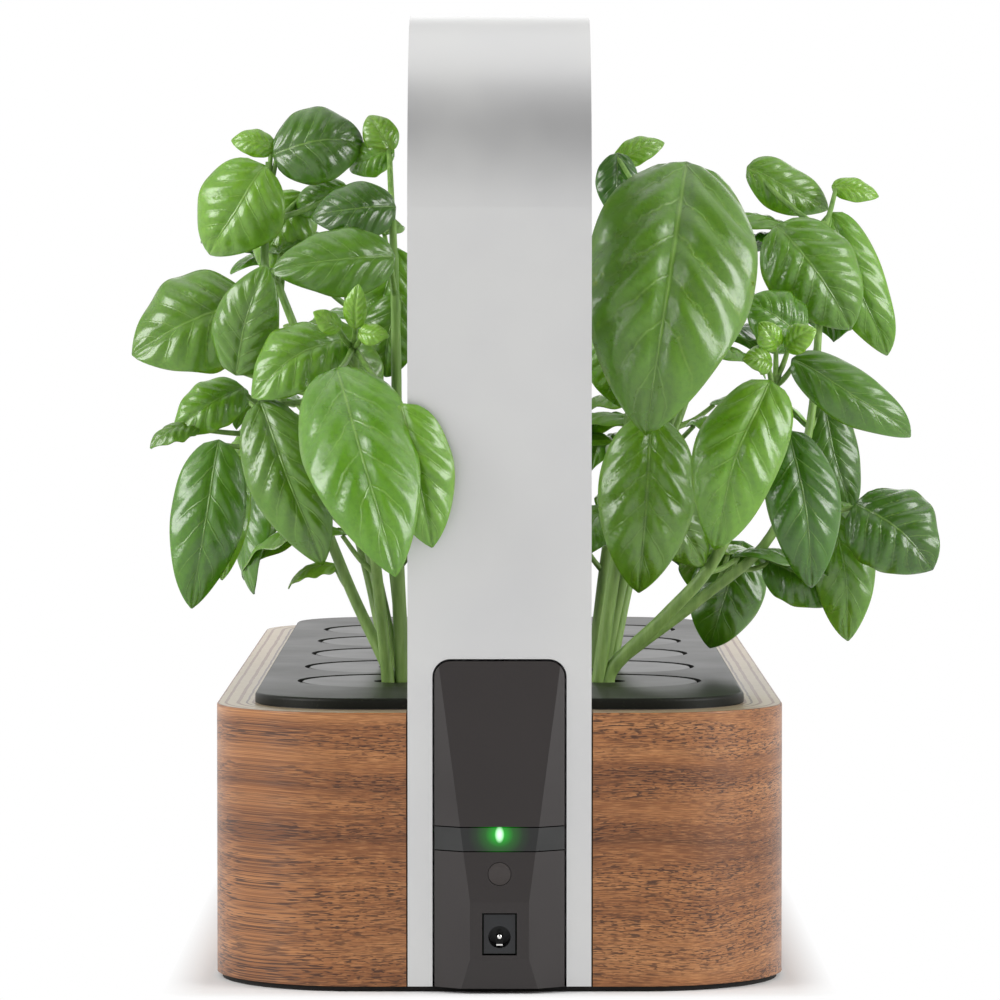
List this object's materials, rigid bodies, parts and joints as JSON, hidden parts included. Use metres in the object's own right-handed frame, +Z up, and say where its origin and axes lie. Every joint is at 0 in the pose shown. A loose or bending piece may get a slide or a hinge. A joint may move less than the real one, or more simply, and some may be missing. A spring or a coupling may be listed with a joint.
{
  "type": "countertop hydroponic garden",
  "caption": "Long walnut box garden with a black deck of round pods, basil plants and a satin light arch over its length.",
  "frame": {"origin": "middle of the foot pad's underside, on the surface the garden stands on", "axes": "+Y along the box from the control panel end to the far end, +X to the right seen from the panel, +Z up"},
  "size_m": [0.2418, 0.458, 0.2819],
  "materials": {
    "foot_rubber": "matt",
    "black_plastic": "matt",
    "walnut_ply": "satin oiled walnut veneer on birch ply",
    "deck_black": "semi-gloss",
    "cover_black": "semi-gloss",
    "cup_black": "matt",
    "plug_fibre": "fibrous",
    "arch_satin": "satin paint",
    "liner_grey": "matt",
    "raw_aluminium": "brushed",
    "board_white": "solder mask",
    "chip_yellow": "gloss",
    "diffuser_frost": "frosted",
    "wire_jacket": "matt",
    "panel_grey": "fine matt",
    "window_smoke": "gloss smoked",
    "button_grey": "fine matt",
    "switch_black": "matt",
    "board_green": "solder mask",
    "lamp_green": "clear green",
    "screw_steel": "plain",
    "socket_black": "satin",
    "socket_metal": "nickel plated",
    "pump_black": "matt",
    "impeller_white": "matt",
    "hose_clear": "clear silicone",
    "float_white": "foam",
    "stem_green": "plant stem",
    "leaf_green": "leaf, half gloss"
  },
  "bodies": {
    "base": {"arch_liner": "liner_grey", "arch_screws": "screw_steel", "arch_shell": "arch_satin", "base_tray": "black_plastic", "board_screws": "screw_steel", "button_switch": "switch_black", "control_board": "board_green", "float_post": "float_white", "foot_pad": "foot_rubber", "heat_plate": "raw_aluminium", "indicator_lamp": "lamp_green", "indicator_window": "window_smoke", "light_board": "board_white", "light_chips": "chip_yellow", "light_diffuser": "diffuser_frost", "light_wiring": "wire_jacket", "panel_lower": "panel_grey", "panel_upper": "panel_grey", "pump_cover": "pump_black", "pump_hose": "hose_clear", "pump_housing": "pump_black", "pump_shaft": "screw_steel", "reservoir_tank": "black_plastic", "socket_housing": "socket_black", "socket_pin": "socket_metal", "socket_spring": "socket_metal", "wood_screws": "screw_steel", "wood_shell_left": "walnut_ply", "wood_shell_right": "walnut_ply"},
    "deck": {"grow_deck": "deck_black", "grow_plugs": "plug_fibre", "pod_cover_left_1": "cover_black", "net_cup_left_1": "cup_black", "basil_stems_left_1": "stem_green", "basil_leaves_left_1": "leaf_green", "pod_cover_left_2": "cover_black", "net_cup_left_2": "cup_black", "basil_stems_left_2": "stem_green", "basil_leaves_left_2": "leaf_green", "pod_cover_right_1": "cover_black", "net_cup_right_1": "cup_black", "basil_stems_right_1": "stem_green", "basil_leaves_right_1": "leaf_green", "pod_cover_right_2": "cover_black", "net_cup_right_2": "cup_black", "basil_stems_right_2": "stem_green", "basil_leaves_right_2": "leaf_green"},
    "button": {"power_button": "button_grey"},
    "float": {"float_ring": "float_white"},
    "impeller": {"pump_impeller": "impeller_white"},
    "cover_left_3": {"pod_cover_left_3": "cover_black"},
    "cover_left_4": {"pod_cover_left_4": "cover_black"},
    "cover_left_5": {"pod_cover_left_5": "cover_black"},
    "cover_right_3": {"pod_cover_right_3": "cover_black"},
    "cover_right_4": {"pod_cover_right_4": "cover_black"},
    "cover_right_5": {"pod_cover_right_5": "cover_black"}
  },
  "joints": [
    {"name": "deck_lift", "type": "slide", "parent": "base", "child": "deck", "axis": [0, 0, 1], "range_m": [0, 0.046]},
    {"name": "button_press", "type": "slide", "parent": "base", "child": "button", "axis": [0, 1, 0], "range_m": [0, 0.0008], "stiffness_N_per_m": 900, "springref_m": -0.0006},
    {"name": "float_rise", "type": "slide", "parent": "base", "child": "float", "axis": [0, 0, 1], "range_m": [0, 0.036]},
    {"name": "impeller_spin", "type": "hinge", "parent": "base", "child": "impeller", "pos_m": [0, 0.165, 0.0221], "axis": [0, 1, 0], "continuous": true},
    {"name": "cover_lift_left_3", "type": "slide", "parent": "deck", "child": "cover_left_3", "axis": [0, 0, 1], "range_m": [0, 0.02]},
    {"name": "cover_lift_left_4", "type": "slide", "parent": "deck", "child": "cover_left_4", "axis": [0, 0, 1], "range_m": [0, 0.02]},
    {"name": "cover_lift_left_5", "type": "slide", "parent": "deck", "child": "cover_left_5", "axis": [0, 0, 1], "range_m": [0, 0.02]},
    {"name": "cover_lift_right_3", "type": "slide", "parent": "deck", "child": "cover_right_3", "axis": [0, 0, 1], "range_m": [0, 0.02]},
    {"name": "cover_lift_right_4", "type": "slide", "parent": "deck", "child": "cover_right_4", "axis": [0, 0, 1], "range_m": [0, 0.02]},
    {"name": "cover_lift_right_5", "type": "slide", "parent": "deck", "child": "cover_right_5", "axis": [0, 0, 1], "range_m": [0, 0.02]}
  ]
}
